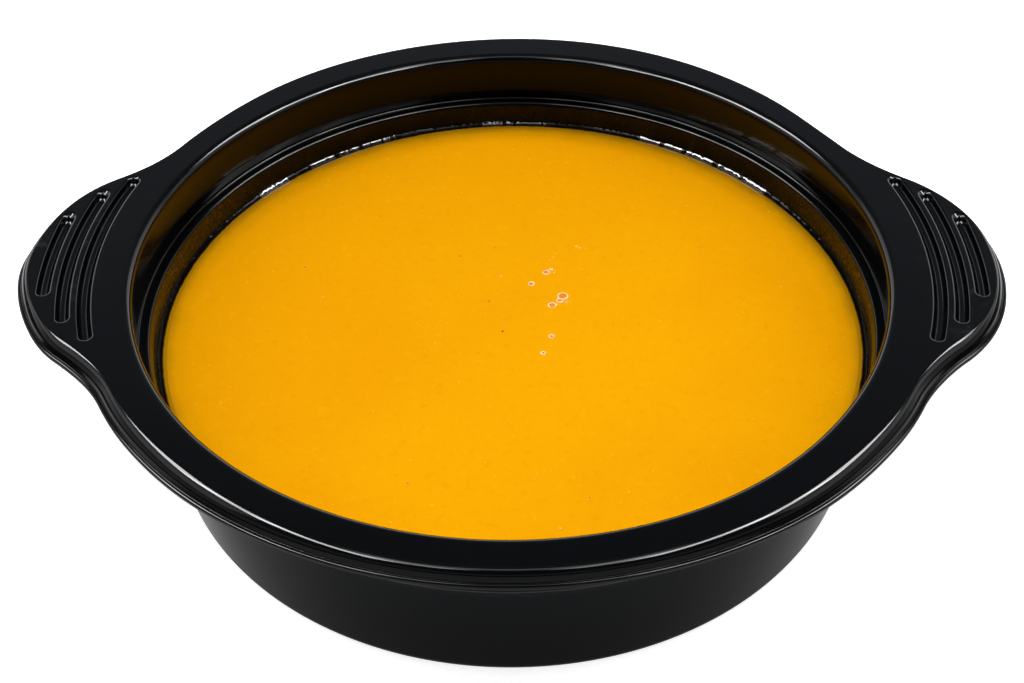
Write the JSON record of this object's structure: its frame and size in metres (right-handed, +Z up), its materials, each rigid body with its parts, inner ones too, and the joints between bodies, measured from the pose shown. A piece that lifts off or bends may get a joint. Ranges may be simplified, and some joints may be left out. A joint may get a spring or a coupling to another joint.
{
  "type": "bowl of pumpkin soup",
  "caption": "Thin black moulded soup bowl with a flat rim, inner ledge and grooved grip ears, filled with smooth orange-yellow pumpkin soup.",
  "frame": {"origin": "middle of the underside of the bowl's flat base", "axes": "+Z up through the open mouth, +X from ear to ear, so the seen front is at -Y"},
  "size_m": [0.1954, 0.1661, 0.0415],
  "materials": {
    "tray_plastic": "satin black",
    "soup": "wet, softly glossy"
  },
  "bodies": {
    "root": {"bowl": "tray_plastic", "soup": "soup"}
  },
  "joints": []
}
